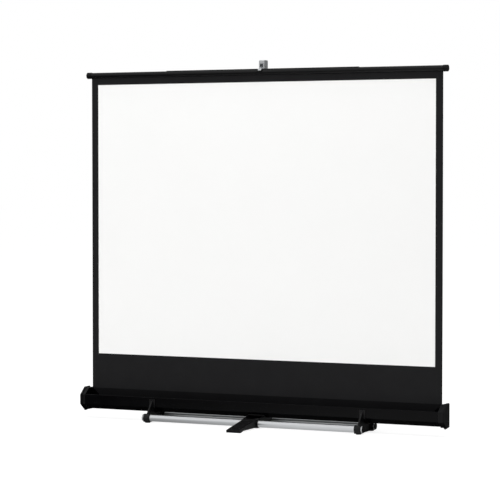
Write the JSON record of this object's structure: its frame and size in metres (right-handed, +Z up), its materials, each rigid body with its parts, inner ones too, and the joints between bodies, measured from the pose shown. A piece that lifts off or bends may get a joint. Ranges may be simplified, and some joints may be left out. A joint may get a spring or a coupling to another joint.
{
  "type": "pull-up projection screen",
  "caption": "Floor-standing pull-up projection screen: a spring-rolled cloth rises from an floor case on a telescoping pole, over a tubular base with a foot pedal.",
  "frame": {"origin": "on the floor, under the middle of the object's box", "axes": "+Z up, -Y towards the audience, X along the case"},
  "size_m": [2.188, 0.427, 2.008],
  "materials": {
    "black_painted_steel": "satin black powder coat",
    "black_cast_metal": "semi-gloss black enamel on castings",
    "black_plastic": "fine-grained black moulding",
    "chromed_steel": "polished chrome plate",
    "zinc_steel": "bright zinc plate",
    "rubber": "matt black rubber",
    "black_cloth": "matt black coated cloth",
    "white_cloth": "matt white coated cloth"
  },
  "bodies": {
    "base": {"case_shell": "black_painted_steel", "left_end_cap": "black_plastic", "right_end_cap": "black_plastic", "end_cap_screws": "zinc_steel", "spring_end_bracket": "zinc_steel", "idle_end_bracket": "zinc_steel", "spring_arbor": "zinc_steel", "roller_spring": "zinc_steel", "pole_foot": "black_painted_steel", "pole_foot_bolts": "zinc_steel", "pole_outer_tube": "chromed_steel", "lower_collar": "black_plastic", "lower_lever_pin": "zinc_steel", "front_base_tube": "chromed_steel", "rear_base_tube": "chromed_steel", "base_tube_plugs": "black_plastic", "left_cradle": "black_cast_metal", "right_cradle": "black_cast_metal", "centre_cradle": "black_cast_metal", "cradle_screws": "zinc_steel", "foot_pads": "rubber"},
    "pedal": {"foot_pedal": "black_painted_steel", "pedal_tread": "rubber", "pedal_rivets": "zinc_steel"},
    "roller": {"roller_tube": "zinc_steel", "spring_end_plug": "black_plastic", "idle_end_plug": "black_plastic", "wound_cloth": "black_cloth"},
    "pole_middle": {"pole_middle_tube": "chromed_steel", "middle_shoe": "black_plastic", "upper_collar": "black_plastic", "upper_lever_pin": "zinc_steel"},
    "pole_top": {"pole_inner_tube": "chromed_steel", "inner_shoe": "black_plastic", "pole_head": "chromed_steel", "hook_pin": "zinc_steel", "slat_tube": "black_painted_steel", "slat_left_cap": "black_plastic", "slat_right_cap": "black_plastic", "slat_strips": "black_plastic", "catch_plate": "black_painted_steel", "catch_rivets": "zinc_steel", "hem_rod": "zinc_steel", "screen_masking": "black_cloth", "viewing_surface": "white_cloth"},
    "hook": {"slat_hook": "chromed_steel"},
    "lower_lever": {"lower_lock_lever": "black_plastic"},
    "upper_lever": {"upper_lock_lever": "black_plastic"}
  },
  "joints": [
    {"name": "screen_height", "type": "slide", "parent": "base", "child": "pole_top", "axis": [0, 0, 1], "range_m": [-1.09, 0], "deforming": ["screen_masking", "viewing_surface"]},
    {"name": "pole_middle_slide", "type": "slide", "parent": "base", "child": "pole_middle", "axis": [0, 0, 1], "range_m": [-0.5455, 0]},
    {"name": "roller_spin", "type": "hinge", "parent": "base", "child": "roller", "pos_m": [0, 0.1135, 0.093], "axis": [1, 0, 0], "range_deg": [-2235, 0]},
    {"name": "lower_lever_hinge", "type": "hinge", "parent": "base", "child": "lower_lever", "pos_m": [0, 0.2055, 0.75233], "axis": [1, 0, 0], "range_deg": [0, 90]},
    {"name": "upper_lever_hinge", "type": "hinge", "parent": "pole_middle", "child": "upper_lever", "pos_m": [0, 0.2055, 1.35167], "axis": [-1, 0, 0], "range_deg": [0, 90]},
    {"name": "slat_hook_hinge", "type": "hinge", "parent": "pole_top", "child": "hook", "pos_m": [0, 0.1715, 1.972], "axis": [-1, 0, 0], "range_deg": [0, 40]},
    {"name": "foot_pedal_hinge", "type": "hinge", "parent": "base", "child": "pedal", "pos_m": [0, 0.0095, 0.027], "axis": [-1, 0, 0], "range_deg": [0, 90]}
  ],
  "couplings": [
    {"joint": "pole_middle_slide", "follows": "screen_height", "ratio": 0.5},
    {"joint": "roller_spin", "follows": "screen_height", "rad_per_m": 35.714}
  ]
}
